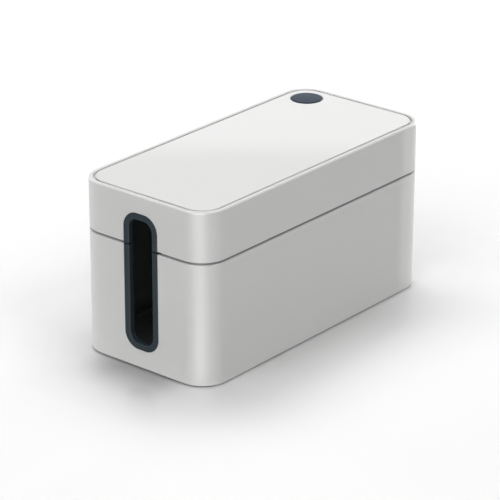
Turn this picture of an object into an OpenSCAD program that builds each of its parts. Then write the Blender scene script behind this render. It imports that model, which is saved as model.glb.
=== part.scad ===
// Cable management box for a short power strip and its spare cable.
// A moulded base with a lift-off lid. A soft split trim lines the cable slot in each end,
// and a plug closes a round cable outlet in one corner of the lid.
// X runs along the length, Y is the depth and Z is up. The origin is on the table, under the centre.

/* [Box] */
// Length, between the outer faces of the two ends
box_l = 246; // [200:1:320]
// Depth, between the outer faces of the two long sides
box_w = 116; // [100:1:160]
// Height of the lid's rim above the table
box_h = 128; // [122:1:150]
// Radius of the upright corners
corner_r = 20; // [18:0.5:26]
// Thickness of the side walls
wall = 3; // [2.8:0.1:3.4]
// Thickness of the floor
floor_t = 3; // [2.6:0.1:4]
// Radius of the base's lower outer edge
base_edge_r = 0.8; // [0.4:0.1:1.4]
// Radius between the floor and the walls, inside
floor_fillet_r = 3; // [1:0.5:5]

/* [Seam] */
// Height of the base's upper edge above the table
seam_z = 89.9; // [80:0.1:98]
// Height of the shadow gap between base and lid
seam_gap = 2; // [0.6:0.1:2]
// Thickness of the tongue on the base that locates the lid
tongue_t = 1.4; // [1:0.1:1.6]
// Reach of the tongue into the lid
tongue_h = 2.8; // [2:0.1:4]
// Play between the tongue and the lid, sideways
tongue_play = 0.3; // [0.2:0.05:0.4]
// Small rounding of the two edges at the seam
seam_edge_r = 0.3; // [0.1:0.1:0.5]

/* [Lid] */
// Radius of the rim's outer edge
rim_edge_r = 1.4; // [0.6:0.1:2]
// Thickness of the deck that carries the panel
deck_t = 2.2; // [1.8:0.1:3]
// Thickness of the inlaid panel
panel_t = 1.8; // [1.4:0.1:2.4]
// Depth of the panel's face below the rim
panel_drop = 0; // [0:0.1:0.6]
// Width of the groove between the rim and the panel
groove_w = 1.8; // [0.8:0.1:2.2]
// Thickness of the stiffening ribs under the deck
rib_t = 1.5; // [1:0.1:2.4]
// Height of the stiffening ribs
rib_h = 4; // [2:0.5:7]
// Diameter of the pegs that locate the panel
peg_d = 4; // [3:0.5:5]

/* [Cable slots] */
// Width over the slot's trim
slot_w = 30.5; // [28:0.5:36]
// Height of the trim's lower edge above the table
slot_low = 14.4; // [12:0.2:24]
// Height of the trim's upper edge above the table
slot_high = 115.4; // [104:0.2:115.4]
// Corner radius of the trim's outline
slot_r = 12; // [11:0.5:13]
// Width of the trim's visible band
trim_band = 5; // [4.5:0.1:6]
// Width of the lips that grip the wall
trim_lip = 3; // [2.2:0.1:3.5]
// Thickness of the outer lip
trim_lip_t = 1.6; // [1.4:0.1:1.8]
// How far the trim stands proud of the wall
trim_proud = 0.4; // [0.2:0.1:0.6]
// Gap between the lower and the upper half of a trim
trim_split = 0.9; // [0.4:0.1:1]

/* [Cable outlet] */
// Distance of the outlet's centre from the two outer faces beside it
outlet_inset = 21.8; // [21.5:0.1:30]
// Diameter of the hole in the lid's panel
outlet_d = 24.4; // [22:0.2:25]
// Diameter of the passage for a cable
outlet_bore = 17.6; // [14:0.2:18]
// How far the plug's head stands proud of the panel
plug_proud = 0.5; // [0.2:0.1:1]
// Radius of the round edge of the plug's head
plug_head_r = 1.2; // [0.4:0.1:1.2]

/* [Feet] */
// Diameter of a foot
foot_d = 16; // [10:1:20]
// How far a foot stands proud of the underside
foot_proud = 1; // [0.8:0.1:1.5]
// Depth of a foot's pocket in the floor
foot_pocket = 1.5; // [1:0.1:1.6]
// Distance of a foot's centre from the end
foot_inset_x = 22; // [20:1:40]
// Distance of a foot's centre from the long side
foot_inset_y = 20; // [20:1:40]

/* [Hidden] */
$fn = 72;
eps = 0.01;
over = 5;

shell_colour = [0.80, 0.80, 0.79];
panel_colour = [0.90, 0.90, 0.89];
slate_colour = [0.22, 0.25, 0.28];
foot_colour = [0.16, 0.17, 0.18];

// Heights of the base and the lid
floor_z = foot_proud + floor_t;
lid_low = seam_z + seam_gap;
tongue_top = lid_low + tongue_h;
tongue_rest = 0.2;
panel_top = box_h - panel_drop;
deck_top = panel_top - panel_t;
deck_low = deck_top - deck_t;
deck_fillet_r = 1;

// Distances from the corners' centres, in the profiles that are swept round the box
inner_r = corner_r - wall;
tongue_r = inner_r + tongue_t;
rebate_r = tongue_r + tongue_play;
panel_r = inner_r - groove_w;
rim_inner_r = 0.3;
panel_edge_r = 0.4;

// The slot: its trim's outline, the notch in the wall and the open passage
slot_h = slot_high - slot_low;
slot_mid = (slot_high + slot_low) / 2;
trim_fit = 0.1;
lip_rebate = trim_lip_t - trim_proud;
inner_lip_t = 1.2;
inner_lip = trim_lip - 0.6;
notch_r = slot_r - trim_lip;
passage_r = slot_r - trim_band;
trim_front_r = 0.5;
trim_bore_r = 0.8;
trim_mid = seam_z + seam_gap / 2;
tongue_stop = slot_w / 2 + 2.2;
pad_stop = tongue_stop - 0.5;

// The outlet, its grommet and its plug
outlet_x = box_l / 2 - outlet_inset;
outlet_y = box_w / 2 - outlet_inset;
neck_d = outlet_d - 1.6;
seat_depth = 1;
seat_z = panel_top - seat_depth;
grommet_lip_d = outlet_d + 1.2;
grommet_lip_t = 1.4;
grommet_fit = 0.1;
grommet_edge_r = 0.4;
plug_gap = 0.4;
plug_stem_t = 1.5;
plug_stem_h = 5.6;
plug_stem_edge_r = 0.4;

// The panel's pegs: two rows along the sides and one at each end
peg_reach = deck_t + 0.8;
peg_fit = 0.1;
peg_pitch = 72;
peg_row_y = box_w / 2 - 16;
peg_end_x = box_l / 2 - 13;
peg_places = concat(
    [for (i = [-1:1], side = [-1, 1]) [i * peg_pitch, side * peg_row_y]],
    [for (side = [-1, 1]) [side * peg_end_x, 0]]);
rib_x = peg_pitch / 2;
rib_y = 18;

foot_x = box_l / 2 - foot_inset_x;
foot_y = box_w / 2 - foot_inset_y;
foot_edge_r = 0.5;

// What a round of radius r takes off a square corner at the origin, whose material
// lies towards +x and +y
module corner_off(r) {
    difference() {
        translate([-eps, -eps]) square(r + eps);
        translate([r, r]) circle(r);
    }
}

// A rectangle w by h about the origin with round corners
module round_rect(w, h, r) {
    square([w - 2 * r, h], center = true);
    square([w, h - 2 * r], center = true);
    for (x = [-1, 1], y = [-1, 1]) translate([x * (w / 2 - r), y * (h / 2 - r)]) circle(r);
}

// Sweeps a profile round a rectangle with round corners. The profile's x is the distance
// out from a corner's centre, so the rectangle's own outline is at x = r.
module swept(l, w, r) {
    cx = l / 2 - r;
    cy = w / 2 - r;
    corners = [[cx, cy], [-cx, cy], [-cx, -cy], [cx, -cy]];
    for (i = [0:3]) translate(corners[i]) rotate([0, 0, 90 * i]) {
        rotate_extrude(angle = 90) children();
        rotate([90, 0, 0]) linear_extrude(2 * (i % 2 == 0 ? cy : cx)) children();
    }
}

// The flat middle that a profile swept round the box leaves open, from z0 to z1
module middle(z0, z1) {
    translate([corner_r - box_l / 2, corner_r - box_w / 2, z0])
        cube([box_l - 2 * corner_r, box_w - 2 * corner_r, z1 - z0]);
}

// Turns a shape drawn in XY so that it lies on an end wall: X to Y, Y to Z and Z outwards.
// side is -1 for the left end and 1 for the right end.
module on_end(side) {
    mirror([side < 0 ? 1 : 0, 0, 0]) translate([box_l / 2, 0, slot_mid]) rotate([90, 0, 90]) children();
}

// Cuts both slots: the notch through the wall and the rebate for the trim's outer lip
module slot_cuts() {
    for (side = [-1, 1]) on_end(side) {
        translate([0, 0, -wall - over]) linear_extrude(wall + 2 * over)
            round_rect(slot_w - 2 * trim_lip, slot_h - 2 * trim_lip, notch_r);
        translate([0, 0, -lip_rebate]) linear_extrude(over) round_rect(slot_w, slot_h, slot_r);
    }
}

// A block across both end walls, over the given half width and heights
module end_block(half_w, z0, z1) {
    for (side = [-1, 1])
        translate([side * box_l / 2 - (wall + over), -half_w, z0])
            cube([2 * (wall + over), 2 * half_w, z1 - z0]);
}

// Section through the base's floor and wall, without the tongue
module base_profile() {
    difference() {
        translate([0, foot_proud]) square([corner_r, seam_z - foot_proud]);
        difference() {
            translate([-eps, floor_z]) square([inner_r + eps, seam_z]);
            translate([inner_r, floor_z]) mirror([1, 0]) corner_off(floor_fillet_r);
        }
        translate([corner_r, foot_proud]) mirror([1, 0]) corner_off(base_edge_r);
        translate([corner_r, seam_z]) mirror([1, 0]) mirror([0, 1]) corner_off(seam_edge_r);
    }
}

// Moulded base: floor, walls, tongue, slots and the pockets for the feet
module base_shell() {
    color(shell_colour) difference() {
        union() {
            swept(box_l, box_w, corner_r) base_profile();
            middle(foot_proud, floor_z);
            difference() {
                swept(box_l, box_w, corner_r)
                    translate([inner_r, seam_z - 1]) square([tongue_t, tongue_top - seam_z + 1]);
                end_block(tongue_stop, seam_z, tongue_top + 1);
            }
        }
        slot_cuts();
        for (x = [-foot_x, foot_x], y = [-foot_y, foot_y])
            translate([x, y, foot_proud - 1]) cylinder(h = 1 + foot_pocket, d = foot_d);
    }
}

// Section through the lid's wall, rim and deck
module lid_profile() {
    difference() {
        translate([0, lid_low]) square([corner_r, box_h - lid_low]);
        difference() {
            translate([-eps, lid_low - 1]) square([inner_r + eps, deck_low - lid_low + 1]);
            translate([inner_r, deck_low]) mirror([1, 0]) mirror([0, 1]) corner_off(deck_fillet_r);
        }
        translate([-eps, deck_top]) square([inner_r + eps, box_h]);
        translate([corner_r, box_h]) mirror([1, 0]) mirror([0, 1]) corner_off(rim_edge_r);
        translate([inner_r, box_h]) mirror([0, 1]) corner_off(rim_inner_r);
        translate([corner_r, lid_low]) mirror([1, 0]) corner_off(seam_edge_r);
    }
}

// Ribs under the deck, from wall to wall
module deck_ribs() {
    for (x = [-rib_x, rib_x])
        translate([x - rib_t / 2, wall / 2 - box_w / 2, deck_low - rib_h])
            cube([rib_t, box_w - wall, rib_h + eps]);
    for (y = [-rib_y, rib_y])
        translate([wall / 2 - box_l / 2, y - rib_t / 2, deck_low - rib_h])
            cube([box_l - wall, rib_t, rib_h + eps]);
}

// Moulded lid: walls with a rebate that drops over the base's tongue, rim and sunk deck
module lid_shell() {
    color(shell_colour) difference() {
        union() {
            swept(box_l, box_w, corner_r) lid_profile();
            middle(deck_low, deck_top);
            deck_ribs();
        }
        difference() {
            swept(box_l, box_w, corner_r)
                translate([inner_r - 1, lid_low - 1])
                    square([rebate_r - inner_r + 1, tongue_top + tongue_rest - lid_low + 1]);
            end_block(pad_stop, lid_low, tongue_top + 1);
        }
        slot_cuts();
        translate([outlet_x, outlet_y, deck_low - 1]) cylinder(h = deck_t + 2, d = neck_d);
        for (p = peg_places) translate([p[0], p[1], deck_low - 1])
            cylinder(h = deck_t + 2, d = peg_d + 2 * peg_fit);
    }
}

// Inlaid panel with its locating pegs and the hole for the grommet
module lid_panel() {
    color(panel_colour) difference() {
        union() {
            swept(box_l, box_w, corner_r) difference() {
                translate([0, deck_top]) square([panel_r, panel_t]);
                translate([panel_r, panel_top]) mirror([1, 0]) mirror([0, 1]) corner_off(panel_edge_r);
            }
            middle(deck_top, panel_top);
            for (p = peg_places) translate([p[0], p[1], deck_top - peg_reach])
                cylinder(h = peg_reach + panel_t / 2, d = peg_d);
        }
        translate([outlet_x, outlet_y, deck_top - 1])
            cylinder(h = panel_t + 2, d = outlet_d);
    }
}

// Section through a trim: a channel whose two lips grip the notched wall. y = 0 is the
// wall's outer face and +y is outwards.
module trim_profile() {
    lip_r = slot_r - trim_fit;
    difference() {
        union() {
            translate([passage_r, -wall - inner_lip_t])
                square([notch_r - passage_r, wall + inner_lip_t + trim_proud]);
            translate([passage_r, -lip_rebate]) square([lip_r - passage_r, trim_lip_t]);
            translate([passage_r, -wall - inner_lip_t])
                square([notch_r + inner_lip - passage_r, inner_lip_t]);
        }
        translate([lip_r, trim_proud]) mirror([1, 0]) mirror([0, 1]) corner_off(trim_front_r);
        translate([passage_r, trim_proud]) mirror([0, 1]) corner_off(trim_bore_r);
        translate([passage_r, -wall - inner_lip_t]) corner_off(trim_bore_r);
        translate([notch_r + inner_lip, -wall - inner_lip_t]) mirror([1, 0]) corner_off(trim_front_r);
    }
}

// One half of a slot's trim, cut at the seam between base and lid
module slot_trim(side, upper) {
    z0 = upper ? trim_mid + trim_split / 2 : 0;
    z1 = upper ? box_h : trim_mid - trim_split / 2;
    color(slate_colour) intersection() {
        on_end(side) swept(slot_w, slot_h, slot_r) trim_profile();
        end_block(slot_w, z0, z1);
    }
}

// Soft ring that clips into the deck, lines the cable outlet and seats the plug
module outlet_grommet() {
    lip_low = deck_low - grommet_lip_t;
    color(slate_colour) translate([outlet_x, outlet_y, 0]) rotate_extrude() difference() {
        union() {
            translate([outlet_bore / 2, lip_low])
                square([(neck_d - outlet_bore) / 2 - grommet_fit, seat_z - lip_low]);
            translate([outlet_bore / 2, lip_low])
                square([(grommet_lip_d - outlet_bore) / 2, grommet_lip_t]);
            translate([outlet_bore / 2, deck_top])
                square([(outlet_d - outlet_bore) / 2 - grommet_fit, seat_z - deck_top]);
        }
        translate([grommet_lip_d / 2, lip_low]) mirror([1, 0]) corner_off(grommet_edge_r);
    }
}

// Plug that closes the outlet: a head that fills the panel's hole, with a hollow stem below it
module outlet_plug() {
    head_r = outlet_d / 2 - plug_gap;
    stem_r = outlet_bore / 2 - plug_gap;
    head_top = panel_top + plug_proud;
    color(slate_colour) translate([outlet_x, outlet_y, 0]) rotate_extrude() difference() {
        union() {
            translate([0, seat_z]) square([head_r, head_top - seat_z]);
            translate([stem_r - plug_stem_t, seat_z - plug_stem_h]) square([plug_stem_t, plug_stem_h + eps]);
        }
        translate([head_r, head_top]) mirror([1, 0]) mirror([0, 1]) corner_off(plug_head_r);
        translate([stem_r, seat_z - plug_stem_h]) mirror([1, 0]) corner_off(plug_stem_edge_r);
    }
}

// Round rubber foot in its pocket, with a rounded edge to its sole
module foot(side_x, side_y) {
    color(foot_colour) translate([side_x * foot_x, side_y * foot_y, 0]) rotate_extrude() difference() {
        square([foot_d / 2, foot_proud + foot_pocket]);
        translate([foot_d / 2, 0]) mirror([1, 0]) corner_off(foot_edge_r);
    }
}

base_shell();
lid_shell();
lid_panel();
slot_trim(-1, false);  // slot_trim_left_lower
slot_trim(-1, true);  // slot_trim_left_upper
slot_trim(1, false);  // slot_trim_right_lower
slot_trim(1, true);  // slot_trim_right_upper
outlet_grommet();
outlet_plug();
foot(-1, -1);  // foot_front_left
foot(1, -1);  // foot_front_right
foot(-1, 1);  // foot_back_left
foot(1, 1);  // foot_back_right
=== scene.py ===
"""Cable management box: the finish of every part, the soft parts, the studio and the camera,
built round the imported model. Everything is in metres, with Z up."""
import math

import bmesh
import bpy
from mathutils import Matrix, Vector


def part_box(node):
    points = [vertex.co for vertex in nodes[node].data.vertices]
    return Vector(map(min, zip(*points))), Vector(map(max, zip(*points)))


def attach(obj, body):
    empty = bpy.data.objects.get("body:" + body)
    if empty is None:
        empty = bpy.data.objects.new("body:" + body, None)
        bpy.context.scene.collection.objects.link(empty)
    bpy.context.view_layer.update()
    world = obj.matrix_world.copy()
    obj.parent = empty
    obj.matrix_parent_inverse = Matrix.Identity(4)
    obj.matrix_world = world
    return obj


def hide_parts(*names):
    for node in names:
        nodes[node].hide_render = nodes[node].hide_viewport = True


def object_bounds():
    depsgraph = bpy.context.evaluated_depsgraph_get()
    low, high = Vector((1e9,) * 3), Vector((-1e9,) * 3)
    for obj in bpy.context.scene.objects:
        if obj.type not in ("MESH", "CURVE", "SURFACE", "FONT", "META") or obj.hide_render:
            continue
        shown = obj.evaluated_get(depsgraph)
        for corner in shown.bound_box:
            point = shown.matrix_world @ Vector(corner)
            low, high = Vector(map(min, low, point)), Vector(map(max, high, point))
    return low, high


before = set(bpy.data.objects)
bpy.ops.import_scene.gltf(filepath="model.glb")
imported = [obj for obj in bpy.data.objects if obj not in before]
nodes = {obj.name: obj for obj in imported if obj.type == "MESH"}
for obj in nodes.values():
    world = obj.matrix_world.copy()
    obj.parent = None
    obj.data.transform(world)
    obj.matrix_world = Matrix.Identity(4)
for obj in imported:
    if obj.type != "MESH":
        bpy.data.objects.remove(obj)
cad_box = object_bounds()
scene = bpy.context.scene
scene.view_settings.view_transform = "Standard"
MM = 0.001


# --- Base and lid shells ------------------------------------------------------------------
# The lower box and the lift-off lid are two mouldings in light grey ABS. The mould's etched
# steel leaves a fine satin grain outside. Inside they are coloured dark grey as painted shade, so
# that the cable slots look black, with a darker painted shade on the box's floor and a mid-grey
# painted shade in the lid's groove.

shell_grey = (0.735, 0.735, 0.73, 1.0)
shell_grey_worn = (0.715, 0.714, 0.705, 1.0)
# Painted shade: the inner side's dark grey, its darker floor and the groove's mid grey.
inside_shade_grey = (0.215, 0.235, 0.23, 1.0)
floor_shade_grey = (0.125, 0.135, 0.133, 1.0)
groove_shade_grey = (0.53, 0.53, 0.53, 1.0)
corner_radius = 20 * MM
skin_depth = 1.5 * MM
inside_bottom = 3 * MM
floor_shade_low = 5 * MM
floor_shade_high = 20 * MM
inside_top = 125 * MM
groove_floor = 126.6 * MM
shell_grain = 2600.0
shell_patches = 28.0
shell_smoothest = 0.36
shell_roughest = 0.4
handled_polish = 0.03
coarse_grain_scale = 0.3
tone_drift_scale = 0.006
fine_grain_share = 0.65
coarse_grain_share = 0.35
grain_pits = 0.3
grain_peaks = 0.7
patch_low = 0.5
patch_high = 0.72


def new_material(name):
    """An empty node material with its Principled shader and object coordinates."""
    material = bpy.data.materials.new(name)
    material.use_nodes = True
    tree = material.node_tree
    tree.nodes.clear()
    shader = tree.nodes.new("ShaderNodeBsdfPrincipled")
    output = tree.nodes.new("ShaderNodeOutputMaterial")
    coordinates = tree.nodes.new("ShaderNodeTexCoord")
    tree.links.new(shader.outputs["BSDF"], output.inputs["Surface"])
    return material, tree, shader, coordinates.outputs["Object"]


def feed(tree, value, socket):
    """Links another node's output to a socket, or sets the socket to a constant."""
    if isinstance(value, bpy.types.NodeSocket):
        tree.links.new(value, socket)
    else:
        socket.default_value = value


def math_node(tree, operation, first, second=None):
    """A Math node on one or two sockets or numbers; returns its output."""
    node = tree.nodes.new("ShaderNodeMath")
    node.operation = operation
    feed(tree, first, node.inputs[0])
    if second is not None:
        feed(tree, second, node.inputs[1])
    return node.outputs["Value"]


def vector_math(tree, operation, first, second=None):
    """A Vector Math node on a socket and, where it needs one, a constant; returns the node."""
    node = tree.nodes.new("ShaderNodeVectorMath")
    node.operation = operation
    tree.links.new(first, node.inputs[0])
    if second is not None:
        node.inputs[1].default_value = second
    return node


def split_axes(tree, vector):
    """The X, Y and Z of a vector socket."""
    axes = tree.nodes.new("ShaderNodeSeparateXYZ")
    tree.links.new(vector, axes.inputs["Vector"])
    return axes.outputs["X"], axes.outputs["Y"], axes.outputs["Z"]


def mix_colours(tree, factor, first, second):
    """A colour Mix node on a factor socket and two colours, each a socket or a constant."""
    node = tree.nodes.new("ShaderNodeMix")
    node.data_type = "RGBA"
    tree.links.new(factor, node.inputs["Factor"])
    for name, value in (("A", first), ("B", second)):
        socket = next(s for s in node.inputs if s.name == name and s.type == "RGBA")
        feed(tree, value, socket)
    return next(s for s in node.outputs if s.type == "RGBA")


def map_range(tree, value, low, high, to_low=0.0, to_high=1.0):
    """A smooth Map Range node from low..high to to_low..to_high."""
    node = tree.nodes.new("ShaderNodeMapRange")
    node.interpolation_type = "SMOOTHSTEP"
    tree.links.new(value, node.inputs["Value"])
    for name, number in (("From Min", low), ("From Max", high), ("To Min", to_low), ("To Max", to_high)):
        node.inputs[name].default_value = number
    return node.outputs["Result"]


def noise(tree, coordinates, scale, detail=2.0):
    """A Noise Texture's value; scale is a socket, in cells per metre."""
    node = tree.nodes.new("ShaderNodeTexNoise")
    node.inputs["Detail"].default_value = detail
    tree.links.new(coordinates, node.inputs["Vector"])
    tree.links.new(scale, node.inputs["Scale"])
    return node.outputs["Fac"]


def new_group(name, inputs, outputs):
    """An empty shader node group; inputs and outputs are lists of (name, socket type)."""
    group = bpy.data.node_groups.new(name, "ShaderNodeTree")
    for label, kind in inputs:
        group.interface.new_socket(name=label, in_out="INPUT", socket_type=kind)
    for label, kind in outputs:
        group.interface.new_socket(name=label, in_out="OUTPUT", socket_type=kind)
    return group, group.nodes.new("NodeGroupInput"), group.nodes.new("NodeGroupOutput")


def make_grain_group():
    """Moulded grain: a fine and a coarse noise as a height, and a slow drift of the tone."""
    group, source, result = new_group(
        "moulded_grain",
        [("Coordinates", "NodeSocketVector"), ("Grain per metre", "NodeSocketFloat")],
        [("Height", "NodeSocketFloat"), ("Drift", "NodeSocketFloat")])
    where = source.outputs["Coordinates"]
    fine_scale = source.outputs["Grain per metre"]
    coarse_scale = math_node(group, "MULTIPLY", fine_scale, coarse_grain_scale)
    drift_scale = math_node(group, "MULTIPLY", fine_scale, tone_drift_scale)
    fine = noise(group, where, fine_scale)
    coarse = noise(group, where, coarse_scale)
    height = math_node(group, "ADD", math_node(group, "MULTIPLY", fine, fine_grain_share),
                       math_node(group, "MULTIPLY", coarse, coarse_grain_share))
    group.links.new(height, result.inputs["Height"])
    group.links.new(noise(group, where, drift_scale, detail=3.0), result.inputs["Drift"])
    return group


def make_handling_group():
    """Handling marks: soft patches where hands have polished or smudged the surface."""
    group, source, result = new_group(
        "handling_marks",
        [("Coordinates", "NodeSocketVector"), ("Patches per metre", "NodeSocketFloat")],
        [("Mask", "NodeSocketFloat")])
    patches = noise(group, source.outputs["Coordinates"], source.outputs["Patches per metre"], detail=4.0)
    group.links.new(map_range(group, patches, patch_low, patch_high), result.inputs["Mask"])
    return group


def make_outline_group():
    """Distance in metres from the box's outline as seen from above, negative inside it."""
    group, source, result = new_group(
        "outline_distance", [("Coordinates", "NodeSocketVector")], [("Distance", "NodeSocketFloat")])
    low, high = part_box("base_shell")
    middle = ((high.x - low.x) / 2 - corner_radius, (high.y - low.y) / 2 - corner_radius, 0)
    flat = vector_math(group, "MULTIPLY", source.outputs["Coordinates"], (1, 1, 0))
    folded = vector_math(group, "ABSOLUTE", flat.outputs["Vector"])
    past = vector_math(group, "SUBTRACT", folded.outputs["Vector"], middle)
    kept = vector_math(group, "MAXIMUM", past.outputs["Vector"], (0, 0, 0))
    reach = vector_math(group, "LENGTH", kept.outputs["Vector"])
    distance = math_node(group, "SUBTRACT", reach.outputs["Value"], corner_radius)
    group.links.new(distance, result.inputs["Distance"])
    return group


grain_group = make_grain_group()
handling_group = make_handling_group()
outline_group = make_outline_group()


def place_group(tree, group, coordinates, label=None, value=None):
    """Puts a node group into a material, with its coordinates and its one number, if it has one."""
    node = tree.nodes.new("ShaderNodeGroup")
    node.node_tree = group
    tree.links.new(coordinates, node.inputs["Coordinates"])
    if label:
        node.inputs[label].default_value = value
    return node


def grain_roughness(tree, height, smoothest, roughest):
    """A roughness that follows the grain, smoothest in its pits and roughest on its peaks."""
    return map_range(tree, height, grain_pits, grain_peaks, smoothest, roughest)


def set_surface(tree, shader, colour, roughness, height, strength, depth):
    """Gives a shader its colour and roughness, and turns a height into its normal."""
    bump = tree.nodes.new("ShaderNodeBump")
    bump.inputs["Strength"].default_value = strength
    bump.inputs["Distance"].default_value = depth
    tree.links.new(height, bump.inputs["Height"])
    tree.links.new(bump.outputs["Normal"], shader.inputs["Normal"])
    tree.links.new(colour, shader.inputs["Base Color"])
    tree.links.new(roughness, shader.inputs["Roughness"])


def inside_masks(tree, coordinates):
    """Masks for the painted shade on the shells' inner side, on the floor of the lid's groove and on
    the box's floor. The inner side lies deeper than the light skin, and reaches up to the groove's floor."""
    outline = place_group(tree, outline_group, coordinates)
    height = split_axes(tree, coordinates)[2]
    deep = math_node(tree, "LESS_THAN", outline.outputs["Distance"], -skin_depth)
    above = math_node(tree, "GREATER_THAN", height, inside_bottom)
    below = math_node(tree, "LESS_THAN", height, groove_floor)
    inside = math_node(tree, "MULTIPLY", deep, math_node(tree, "MULTIPLY", above, below))
    groove = math_node(tree, "GREATER_THAN", height, inside_top)
    bottom = map_range(tree, height, floor_shade_low, floor_shade_high, 1.0, 0.0)
    return inside, groove, bottom


def make_shell_plastic():
    """Light grey satin ABS outside; painted shade inside: dark grey, darker on the floor, mid grey in the
    groove.
    """
    material, tree, shader, where = new_material("shell_plastic")
    grain = place_group(tree, grain_group, where, "Grain per metre", shell_grain)
    handling = place_group(tree, handling_group, where, "Patches per metre", shell_patches)
    outside = mix_colours(tree, grain.outputs["Drift"], shell_grey, shell_grey_worn)
    inside, groove, bottom = inside_masks(tree, where)
    # Painted shade inside the shells: dark walls, a darker floor low down and a mid-grey groove.
    walls_and_floor = mix_colours(tree, bottom, inside_shade_grey, floor_shade_grey)
    shaded = mix_colours(tree, groove, walls_and_floor, groove_shade_grey)
    colour = mix_colours(tree, inside, outside, shaded)
    height = grain.outputs["Height"]
    roughness = math_node(tree, "ADD", grain_roughness(tree, height, shell_smoothest, shell_roughest),
                          math_node(tree, "MULTIPLY", handling.outputs["Mask"], -handled_polish))
    set_surface(tree, shader, colour, roughness, height, strength=0.12, depth=0.04 * MM)
    return material


def dress(material, *names):
    """Gives CAD nodes their finish."""
    for name in names:
        nodes[name].data.materials[0] = material


dress(make_shell_plastic(), "base_shell", "lid_shell")


# --- Lid panel ----------------------------------------------------------------------------
# The inlay in the lid's top is a pale, high-gloss sheet, held in its recess by pegs. A phone
# rests on it.

panel_grey = (0.785, 0.785, 0.78, 1.0)
panel_grey_dull = (0.765, 0.764, 0.757, 1.0)
panel_grain = 700.0
panel_patches = 22.0
panel_smoothest = 0.03
panel_roughest = 0.06


def make_panel_gloss():
    """Pale glossy plastic with faint wipe marks."""
    material, tree, shader, where = new_material("panel_gloss")
    grain = place_group(tree, grain_group, where, "Grain per metre", panel_grain)
    handling = place_group(tree, handling_group, where, "Patches per metre", panel_patches)
    colour = mix_colours(tree, grain.outputs["Drift"], panel_grey, panel_grey_dull)
    roughness = map_range(tree, handling.outputs["Mask"], 0.0, 1.0, panel_smoothest, panel_roughest)
    set_surface(tree, shader, colour, roughness, grain.outputs["Height"], strength=0.02, depth=0.01 * MM)
    return material


dress(make_panel_gloss(), "lid_panel")


# --- Slot trims ---------------------------------------------------------------------------
# A channel of soft slate-grey rubber, clipped over the edge of the slot in each end wall. The
# seam parts it into a tall lower half on the base and a short upper half on the lid. Its face
# is matt, with a fine grain and a paler bloom in patches.

slate = (0.015, 0.0275, 0.0355, 1.0)
slate_bloom = (0.0215, 0.0365, 0.0465, 1.0)
slate_grain = 3500.0
lip_thickness = 1.6 * MM
lip_width = 2.9 * MM
web_thickness = 2 * MM
inner_lip_thickness = 1.2 * MM
inner_lip_width = 2.4 * MM
trim_radius = 11.9 * MM
bore_edge = 0.8 * MM
lip_edge = 0.5 * MM
cut_edge = 0.15 * MM
bend_steps = 20
same_place = 0.005 * MM
merge_distance = 0.001 * MM
smooth_angle = math.radians(30)


def make_slate(name, dark, pale, shine, smoothest, roughest):
    """Slate-grey rubber between two tones; shine is its specular level."""
    material, tree, shader, where = new_material(name)
    grain = place_group(tree, grain_group, where, "Grain per metre", slate_grain)
    height = grain.outputs["Height"]
    colour = mix_colours(tree, grain.outputs["Drift"], dark, pale)
    roughness = grain_roughness(tree, height, smoothest, roughest)
    set_surface(tree, shader, colour, roughness, height, strength=0.2, depth=0.05 * MM)
    shader.inputs["Specular IOR Level"].default_value = shine
    return material


def near(first, second):
    """True where two coordinates are the same but for rounding."""
    return abs(first - second) < same_place


def pick(kind, test):
    """Selects the vertices, edges or faces whose corners all pass a test on their place."""
    bpy.ops.mesh.select_mode(type=kind)
    bpy.ops.mesh.select_all(action="DESELECT")
    mesh = bpy.context.edit_object.data
    edited = bmesh.from_edit_mesh(mesh)
    parts = {"VERT": edited.verts, "EDGE": edited.edges, "FACE": edited.faces}[kind]
    for part in parts:
        corners = [part] if kind == "VERT" else part.verts
        part.select_set(all(test(corner.co) for corner in corners))
    edited.select_flush_mode()
    bmesh.update_edit_mesh(mesh)


def start_edit(name):
    """Names the new primitive, puts its place and size into its mesh and opens it for editing."""
    piece = bpy.context.object
    piece.name = name
    bpy.ops.object.transform_apply(location=True, rotation=True, scale=True)
    bpy.ops.object.mode_set(mode="EDIT")
    return piece


def start_rectangle(name, low, high):
    """A flat level rectangle between two corners, left in edit mode."""
    bpy.ops.object.select_all(action="DESELECT")
    bpy.ops.mesh.primitive_plane_add(size=1, location=(low + high) / 2)
    bpy.context.object.scale = (high.x - low.x, high.y - low.y, 1)
    return start_edit(name)


def extrude(x, y, z):
    """Extrudes what is selected by a distance along each axis."""
    bpy.ops.mesh.extrude_region_move(TRANSFORM_OT_translate={"value": (x, y, z)})


def round_off(kind, radius, segments):
    """Rounds the selected corners ("VERTICES") or edges ("EDGES")."""
    bpy.ops.mesh.bevel(offset=radius, segments=segments, profile=0.5, affect=kind)


def end_edit(piece):
    """Closes a piece's mesh, turns its faces outwards and shades it smooth but for its edges."""
    bpy.ops.mesh.select_all(action="SELECT")
    bpy.ops.mesh.remove_doubles(threshold=merge_distance)
    bpy.ops.mesh.normals_make_consistent(inside=False)
    bpy.ops.object.mode_set(mode="OBJECT")
    bpy.ops.object.shade_smooth_by_angle(angle=smooth_angle)
    return piece


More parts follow.
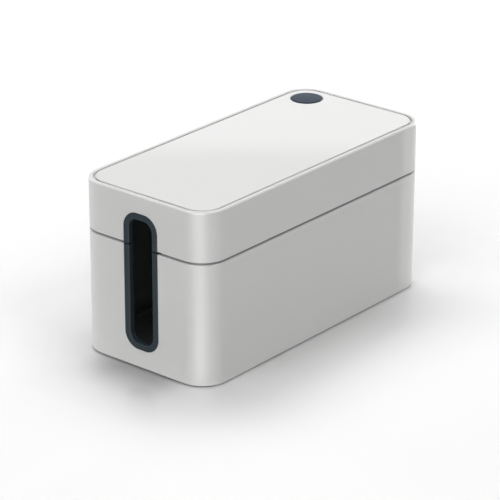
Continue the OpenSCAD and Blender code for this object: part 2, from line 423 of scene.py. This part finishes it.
def draw_channel(name, low, high, height):
    """The trim's section at one height: a web with a wide outer lip and a narrow inner one."""
    web_low = high.y - lip_width - web_thickness
    web_high = high.y - lip_width
    piece = start_rectangle(name, Vector((low.x, web_low, height)), Vector((high.x, web_high, height)))
    lip_back = low.x + lip_thickness
    inner_lip_front = high.x - inner_lip_thickness
    for x in (lip_back, inner_lip_front):
        bpy.ops.mesh.select_all(action="SELECT")
        bpy.ops.mesh.bisect(plane_co=(x, 0, 0), plane_no=(1, 0, 0))
    pick("EDGE", lambda place: near(place.y, web_high) and place.x < lip_back + same_place)
    extrude(0, lip_width, 0)
    pick("EDGE", lambda place: near(place.y, web_high) and place.x > inner_lip_front - same_place)
    extrude(0, inner_lip_width, 0)
    pick("VERT", lambda place: near(place.y, web_low) and (near(place.x, low.x) or near(place.x, high.x)))
    round_off("VERTICES", bore_edge, segments=6)
    pick("VERT", lambda place: (near(place.x, low.x) and near(place.y, high.y))
         or (near(place.x, high.x) and near(place.y, web_high + inner_lip_width)))
    round_off("VERTICES", lip_edge, segments=4)
    return piece


def make_trim(node, upper):
    """One half of the left trim: its section swept from the cut to the slot's round end and back."""
    low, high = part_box(node)
    cut, end = (low.z, high.z) if upper else (high.z, low.z)
    piece = draw_channel("trim_" + node, low, high, cut)
    way = 1 if upper else -1
    bend_z = end - way * trim_radius
    bend_y = high.y - trim_radius
    bend = {"steps": bend_steps, "angle": -way * math.pi / 2, "axis": (1, 0, 0)}
    bpy.ops.mesh.select_mode(type="FACE")
    bpy.ops.mesh.select_all(action="SELECT")
    extrude(0, 0, bend_z - cut)
    bpy.ops.mesh.spin(center=(0, bend_y, bend_z), **bend)
    extrude(0, -2 * bend_y, 0)
    bpy.ops.mesh.spin(center=(0, -bend_y, bend_z), **bend)
    extrude(0, 0, cut - bend_z)
    end_edit(piece)
    bpy.ops.object.mode_set(mode="EDIT")
    pick("FACE", lambda place: near(place.z, cut))
    bpy.ops.mesh.region_to_loop()
    round_off("EDGES", cut_edge, segments=2)
    return end_edit(piece)


def copy_piece(piece, name):
    """A copy of a piece with its own mesh, left in edit mode with all of it selected."""
    bpy.ops.object.select_all(action="DESELECT")
    piece.select_set(True)
    bpy.context.view_layer.objects.active = piece
    bpy.ops.object.duplicate()
    twin = bpy.context.object
    twin.name = name
    bpy.ops.object.mode_set(mode="EDIT")
    bpy.ops.mesh.select_all(action="SELECT")
    return twin


def fit(piece, node, body, material):
    """Puts a finished piece in the place of a CAD node, on its body and in its material slot."""
    piece.data.materials.clear()
    piece.data.materials.append(material)
    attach(piece, body)
    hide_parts(node)


slate_rubber = make_slate("slate_matt", slate, slate_bloom, shine=0.15, smoothest=0.5, roughest=0.6)
for half, body in (("lower", "base"), ("upper", "lid")):
    left_trim = make_trim("slot_trim_left_" + half, half == "upper")
    right_trim = copy_piece(left_trim, "trim_slot_trim_right_" + half)
    bpy.ops.transform.resize(value=(-1, 1, 1), center_override=(0, 0, 0))
    end_edit(right_trim)
    fit(left_trim, "slot_trim_left_" + half, body, slate_rubber)
    fit(right_trim, "slot_trim_right_" + half, body, slate_rubber)


# --- Grommet ------------------------------------------------------------------------------
# A soft ring snapped into the round hole in the lid, in the trims' rubber. A lip under the
# deck and a flange above it hold it, and the plug's head rests on the flange.

round_sides = 96
outlet_bore_radius = 8.8 * MM
neck_radius = 11.3 * MM
flange_radius = 12.1 * MM
flange_height = 0.8 * MM
grommet_lip_height = 1.4 * MM
grommet_edge = 0.4 * MM


def start_cylinder(name, centre, radius, low_z, high_z):
    """An upright cylinder, left in edit mode."""
    bpy.ops.object.select_all(action="DESELECT")
    bpy.ops.mesh.primitive_cylinder_add(vertices=round_sides, radius=radius, depth=high_z - low_z,
                                        location=(centre.x, centre.y, (low_z + high_z) / 2))
    return start_edit(name)


def pick_level(kind, height):
    """Selects the faces or edges that lie at one height."""
    pick(kind, lambda place: near(place.z, height))


def make_grommet():
    """Lip, neck and flange raised from one cylinder, then bored through."""
    low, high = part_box("outlet_grommet")
    centre = (low + high) / 2
    lip_radius = (high.x - low.x) / 2
    lip_top = low.z + grommet_lip_height
    flange_low = high.z - flange_height
    piece = start_cylinder("grommet", centre, lip_radius, low.z, lip_top)
    pick_level("EDGE", low.z)
    round_off("EDGES", grommet_edge, segments=4)
    pick_level("FACE", lip_top)
    bpy.ops.mesh.inset(thickness=lip_radius - neck_radius)
    extrude(0, 0, flange_low - lip_top)
    extrude(0, 0, 0)
    growth = flange_radius / neck_radius
    bpy.ops.transform.resize(value=(growth, growth, 1), center_override=(centre.x, centre.y, flange_low))
    extrude(0, 0, flange_height)
    bpy.ops.mesh.inset(thickness=flange_radius - outlet_bore_radius)
    bpy.ops.mesh.delete(type="FACE")
    pick_level("FACE", low.z)
    bpy.ops.mesh.inset(thickness=lip_radius - grommet_edge - outlet_bore_radius)
    bpy.ops.mesh.delete(type="ONLY_FACE")
    bpy.ops.mesh.select_mode(type="EDGE")
    bpy.ops.mesh.select_all(action="DESELECT")
    bpy.ops.mesh.select_non_manifold(extend=False, use_wire=False, use_multi_face=False,
                                     use_non_contiguous=False, use_verts=False)
    bpy.ops.mesh.bridge_edge_loops()
    return end_edit(piece)


fit(make_grommet(), "outlet_grommet", "lid", slate_rubber)


# --- Plug ---------------------------------------------------------------------------------
# The cap that closes the outlet: a round head, flat on top with a soft edge, on a hollow stem
# that grips the grommet. It is moulded in slate rubber too, a little bluer and glossier.

cap_slate = (0.015, 0.03, 0.05, 1.0)
cap_slate_bloom = (0.021, 0.038, 0.06, 1.0)
head_edge = 1.2 * MM
head_height = 1.5 * MM
stem_radius = 8.4 * MM
stem_wall = 1.5 * MM
stem_edge = 0.4 * MM


def make_plug():
    """Head with a rounded edge; its underside inset, drawn down and hollowed for the stem."""
    low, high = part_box("outlet_plug")
    centre = (low + high) / 2
    head_radius = (high.x - low.x) / 2
    head_low = high.z - head_height
    piece = start_cylinder("plug", centre, head_radius, head_low, high.z)
    pick_level("EDGE", high.z)
    round_off("EDGES", head_edge, segments=8)
    pick_level("FACE", head_low)
    bpy.ops.mesh.inset(thickness=head_radius - stem_radius)
    extrude(0, 0, low.z - head_low)
    bpy.ops.mesh.region_to_loop()
    round_off("EDGES", stem_edge, segments=4)
    pick_level("FACE", low.z)
    bpy.ops.mesh.inset(thickness=stem_wall - stem_edge)
    extrude(0, 0, head_low - low.z)
    return end_edit(piece)


slate_cap = make_slate("slate_satin", cap_slate, cap_slate_bloom, shine=0.16, smoothest=0.35, roughest=0.42)
fit(make_plug(), "outlet_plug", "plug", slate_cap)


# --- Feet ---------------------------------------------------------------------------------
# Four dark rubber pads, pressed into pockets in the underside of the base. They lift the walls
# 1 mm off the table.

foot_grey = (0.018, 0.018, 0.02, 1.0)
foot_grey_dusty = (0.035, 0.035, 0.037, 1.0)
foot_grain = 2500.0
foot_smoothest = 0.62
foot_roughest = 0.75
foot_edge = 0.5 * MM


def make_foot_rubber():
    """Dark rubber with a little dust in its grain."""
    material, tree, shader, where = new_material("foot_rubber")
    grain = place_group(tree, grain_group, where, "Grain per metre", foot_grain)
    height = grain.outputs["Height"]
    colour = mix_colours(tree, height, foot_grey, foot_grey_dusty)
    roughness = grain_roughness(tree, height, foot_smoothest, foot_roughest)
    set_surface(tree, shader, colour, roughness, height, strength=0.35, depth=0.08 * MM)
    return material


def make_foot(node):
    """A pad with a rounded edge to its sole."""
    low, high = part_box(node)
    piece = start_cylinder("pad_" + node, (low + high) / 2, (high.x - low.x) / 2, low.z, high.z)
    pick_level("EDGE", low.z)
    round_off("EDGES", foot_edge, segments=5)
    return end_edit(piece)


foot_rubber = make_foot_rubber()
first_foot = "foot_front_left"
first_pad = make_foot(first_foot)
first_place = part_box(first_foot)[0]
for foot_node in ("foot_front_right", "foot_back_left", "foot_back_right"):
    pad = copy_piece(first_pad, "pad_" + foot_node)
    bpy.ops.transform.translate(value=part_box(foot_node)[0] - first_place)
    end_edit(pad)
    fit(pad, foot_node, "base", foot_rubber)
fit(first_pad, first_foot, "base", foot_rubber)


# --- Studio lights ------------------------------------------------------------------------
# Large soft boxes stand high behind the box and before its two near faces, with low fills for
# the upright faces. Two upright strips and two that lie on the table show only as the sheen on
# the near corner, and two small cards brighten the shells' far upright edges.

aim_height = 60 * MM
light_distance = 2.5
box_side = 1.2
fill_elevation = 4
fill_width = 0.7
fill_height = 0.3
sheen_elevation = 5
sheen_width = 0.17
sheen_height = 0.4
strip_start = 40 * MM
strip_length = 0.33
strip_width = 30 * MM
strip_height = 3 * MM
card_width = 44 * MM
near_corner = Vector((cad_box[0][0] + corner_radius, cad_box[0][1] + corner_radius, strip_height))


def outward(azimuth, elevation=0.0):
    """The direction away from the box, by its azimuth and elevation in degrees."""
    turn = math.radians(azimuth)
    tilt = math.radians(elevation)
    return Vector((math.cos(turn) * math.cos(tilt), math.sin(turn) * math.cos(tilt), math.sin(tilt)))


def towards_box(direction):
    """The turn that makes a light shine against a direction, which leads away from the box."""
    return direction.to_track_quat("Z", "Y").to_matrix().to_4x4()


def area_light(name, width, height, power, place, turn):
    """A rectangular area light; turn is its rotation from one that shines straight down."""
    lamp = bpy.data.lights.new(name, "AREA")
    lamp.shape = "RECTANGLE"
    lamp.size = width
    lamp.size_y = height
    lamp.energy = power
    holder = bpy.data.objects.new(name, lamp)
    scene.collection.objects.link(holder)
    holder.matrix_world = Matrix.Translation(place) @ turn
    return holder


def soft_box(name, azimuth, elevation, width, height, level):
    """A light that faces the box; at level 1 a white face turned to it renders white."""
    direction = outward(azimuth, elevation)
    place = Vector((0, 0, aim_height)) + direction * light_distance
    power = level * (math.pi * light_distance) ** 2
    return area_light(name, width, height, power, place, towards_box(direction))


def matt_box(name, azimuth, elevation, level):
    """A large square soft box that leaves no reflection."""
    soft_box(name, azimuth, elevation, box_side, box_side, level).visible_glossy = False


def fill_box(name, azimuth, level):
    """A low, wide soft box that fills the upright faces."""
    soft_box(name, azimuth, fill_elevation, fill_width, fill_height, level)


def upright_strip(name, azimuth, level):
    """A narrow upright soft box that shows only as sheen."""
    soft_box(name, azimuth, sheen_elevation, sheen_width, sheen_height, level).visible_diffuse = False


def floor_strip(name, azimuth, power):
    """A light on the table that points away from the near corner and shows only as sheen on it."""
    place = near_corner + outward(azimuth) * (strip_start + strip_length / 2)
    turn = Matrix.Rotation(math.radians(azimuth), 4, "Z") @ Matrix.Rotation(math.pi, 4, "X")
    strip = area_light(name, strip_length, strip_width, power, place, turn)
    strip.visible_diffuse = False
    strip.visible_camera = False


def edge_card(name, place, azimuth, height, power):
    """A small card that stands beside a far upright edge and brightens the two shells there."""
    card = area_light(name, card_width, height, power, place, towards_box(outward(azimuth)))
    card.visible_glossy = False
    card.visible_camera = False
    card.light_linking.receiver_collection = shells


matt_box("top_back_right", azimuth=30, elevation=65, level=0.233)
matt_box("top_back_left", azimuth=60, elevation=65, level=0.171)
matt_box("top_back", azimuth=90, elevation=65, level=0.212)
matt_box("front_end", azimuth=180, elevation=45, level=0.185)
matt_box("front_near", azimuth=210, elevation=45, level=0.103)
matt_box("front_corner", azimuth=240, elevation=45, level=0.104)
matt_box("front_long", azimuth=270, elevation=45, level=0.238)
fill_box("right_fill", azimuth=0, level=0.58)
fill_box("back_fill", azimuth=90, level=0.257)
fill_box("end_fill", azimuth=180, level=0.14)
upright_strip("corner_sheen", azimuth=218, level=1.304)
upright_strip("corner_sheen_left", azimuth=198, level=1.569)
floor_strip("floor_sheen_left", azimuth=205, power=0.053)
floor_strip("floor_sheen", azimuth=219, power=0.081)

shells = bpy.data.collections.new("shells")
for shell in ("base_shell", "lid_shell"):
    shells.objects.link(nodes[shell])
edge_card("right_edge_card", Vector((105, -84, 68)) * MM, azimuth=210, height=0.15, power=0.0053)
edge_card("left_edge_card", Vector((-149.4, 47, 72)) * MM, azimuth=240, height=0.13, power=0.0023)


# --- Table --------------------------------------------------------------------------------
# A plain white lacquered table. A painted shadow darkens its colour close to the box, least before
# the two front corners and most before the left end. Far away it has a painted glow, for the
# camera only, up to white at the horizon.

table_white = (0.97, 0.97, 0.97, 1.0)
table_bounce = (0.6, 0.6, 0.6, 1.0)
black = (0.0, 0.0, 0.0, 1.0)
white = (1.0, 1.0, 1.0, 1.0)
table_size = 40.0
table_roughness = 0.5
lacquer_ior = 2.2
lacquer_roughness = 0.06
polish = 0.9
polish_reach = 80 * MM
shade_depth = 0.088
shade_reach = 150 * MM
near_depth = 0.129
near_reach = 60 * MM
contact_depth = 0.069
contact_reach = 28 * MM
end_depth = 0.34
end_reach = 45 * MM
end_full_x = -123 * MM
end_none_x = -100 * MM
end_full_width = 15 * MM
end_none_width = 50 * MM
relief_depth = 0.2
relief_full_y = -60 * MM
relief_none_y = -20 * MM
relief_none_width = 40 * MM
relief_full_width = 120 * MM
clear_glow = 0.03
clear_reach = 400 * MM
horizon_reach = 2.0
beside_none_y = -90 * MM
beside_full_y = -50 * MM
beside_start = 40 * MM
beside_reach = 90 * MM


def shade_near_box(tree, distance, along, across):
    """The painted shadow close to the box: how much darker the table's colour is there, three fades on
    top of each other, with more before the left end and less before the two front corners."""
    before_end = math_node(
        tree, "MULTIPLY", map_range(tree, along, end_full_x, end_none_x, 1.0, 0.0),
        map_range(tree, math_node(tree, "ABSOLUTE", across), end_full_width, end_none_width, 1.0, 0.0))
    end_shade = math_node(tree, "MULTIPLY", before_end,
                          map_range(tree, distance, 0.0, end_reach, end_depth, 0.0))
    front_corners = math_node(
        tree, "MULTIPLY", map_range(tree, across, relief_full_y, relief_none_y, 1.0, 0.0),
        map_range(tree, math_node(tree, "ABSOLUTE", along), relief_none_width, relief_full_width))
    corner_relief = math_node(tree, "MULTIPLY", front_corners,
                              map_range(tree, distance, 0.0, near_reach, -relief_depth, 0.0))
    shade = math_node(tree, "ADD", end_shade, corner_relief)
    for reach, depth in ((shade_reach, shade_depth),
                         (near_reach, near_depth),
                         (contact_reach, contact_depth)):
        shade = math_node(tree, "ADD", shade, map_range(tree, distance, 0.0, reach, depth, 0.0))
    return shade


def glow_far_away(tree, distance, across):
    """How much the table's painted glow lifts it: faintly beyond the painted shadow, from closer by
    beside and behind the box, and up to white at the horizon."""
    horizon_white = map_range(tree, distance, clear_reach, horizon_reach)
    clear_white = map_range(tree, distance, shade_reach, clear_reach, 0.0, clear_glow)
    beside_white = math_node(tree, "MULTIPLY", map_range(tree, across, beside_none_y, beside_full_y),
                             map_range(tree, distance, beside_start, beside_reach, 0.0, clear_glow))
    return math_node(tree, "ADD", horizon_white, math_node(tree, "ADD", beside_white, clear_white))


def make_table_white():
    """White lacquer, polished close to the box, with a painted shadow near it and a painted glow away from
    it. It lights the box as a greyer table would.
    """
    material, tree, shader, where = new_material("table")
    rays = tree.nodes.new("ShaderNodeLightPath")
    distance = place_group(tree, outline_group, where).outputs["Distance"]
    along, across = split_axes(tree, where)[:2]
    # Painted shadow: the table's colour darkened close to the box.
    seen = mix_colours(tree, shade_near_box(tree, distance, along, across), table_white, black)
    colour = mix_colours(tree, rays.outputs["Is Diffuse Ray"], seen, table_bounce)
    coat = map_range(tree, distance, 0.0, polish_reach, polish, 0.0)
    # Painted glow: emission for the camera only, lightening the table away from the box.
    glow = math_node(tree, "MULTIPLY", glow_far_away(tree, distance, across), rays.outputs["Is Camera Ray"])
    for name, value in (("Base Color", colour), ("Roughness", table_roughness), ("Specular IOR Level", 0.0),
                        ("Coat Weight", coat), ("Coat IOR", lacquer_ior),
                        ("Coat Roughness", lacquer_roughness),
                        ("Emission Color", white), ("Emission Strength", glow)):
        feed(tree, value, shader.inputs[name])
    return material


bpy.ops.mesh.primitive_plane_add(size=table_size)
table = bpy.context.object
table.name = "table"
table.data.materials.append(make_table_white())


# --- Studio walls -------------------------------------------------------------------------
# The room is plain white to the camera and gives no light of its own. Gloss reflects bright
# walls under a dimmer ceiling, and the walls dim again towards the floor.

wall_glow = 1.36
ceiling_glow = 0.767
foot_share = 0.6
wall_top = math.sin(math.radians(20.6))
ceiling_foot = math.sin(math.radians(21.0))
wall_foot = math.sin(math.radians(6.0))
wall_full = math.sin(math.radians(15.0))


def make_studio():
    """A world that is white to the camera and shows its walls and ceiling in gloss and glass.
    Its heights are sines of the angle above the horizon."""
    studio = bpy.data.worlds.new("studio")
    studio.use_nodes = True
    tree = studio.node_tree
    background = tree.nodes["Background"]
    rays = tree.nodes.new("ShaderNodeLightPath")
    direction = tree.nodes.new("ShaderNodeTexCoord")
    height = split_axes(tree, direction.outputs["Generated"])[2]
    glow = math_node(tree, "MULTIPLY",
                     map_range(tree, height, wall_top, ceiling_foot, wall_glow, ceiling_glow),
                     map_range(tree, height, wall_foot, wall_full, foot_share, 1.0))
    mirrored = math_node(tree, "MAXIMUM", rays.outputs["Is Glossy Ray"], rays.outputs["Is Transmission Ray"])
    strength = math_node(tree, "ADD", rays.outputs["Is Camera Ray"],
                         math_node(tree, "MULTIPLY", mirrored, glow))
    background.inputs["Color"].default_value = white
    tree.links.new(strength, background.inputs["Strength"])
    return studio


scene.world = make_studio()


# --- Camera -------------------------------------------------------------------------------
# A long lens looks down on the near corner, between the end with the cable slot and the
# long side.

camera_azimuth = math.radians(-50.306)
camera_elevation = math.radians(22.967)
camera_roll = math.radians(0.104)
camera_distance = 1.8716
camera_lens = 189.37
sensor_width = 36.0
nearest_seen = 0.05
farthest_seen = 50
aim = Vector((-5.90, 1.26, 50.89)) * MM

camera_turn = (Matrix.Rotation(camera_azimuth, 4, "Z")
               @ Matrix.Rotation(math.radians(90) - camera_elevation, 4, "X")
               @ Matrix.Rotation(camera_roll, 4, "Z"))
camera = bpy.data.objects.new("camera", bpy.data.cameras.new("camera"))
scene.collection.objects.link(camera)
camera.matrix_world = Matrix.Translation(aim) @ camera_turn @ Matrix.Translation((0, 0, camera_distance))
camera.data.lens = camera_lens
camera.data.sensor_width = sensor_width
camera.data.clip_start = nearest_seen
camera.data.clip_end = farthest_seen
scene.camera = camera
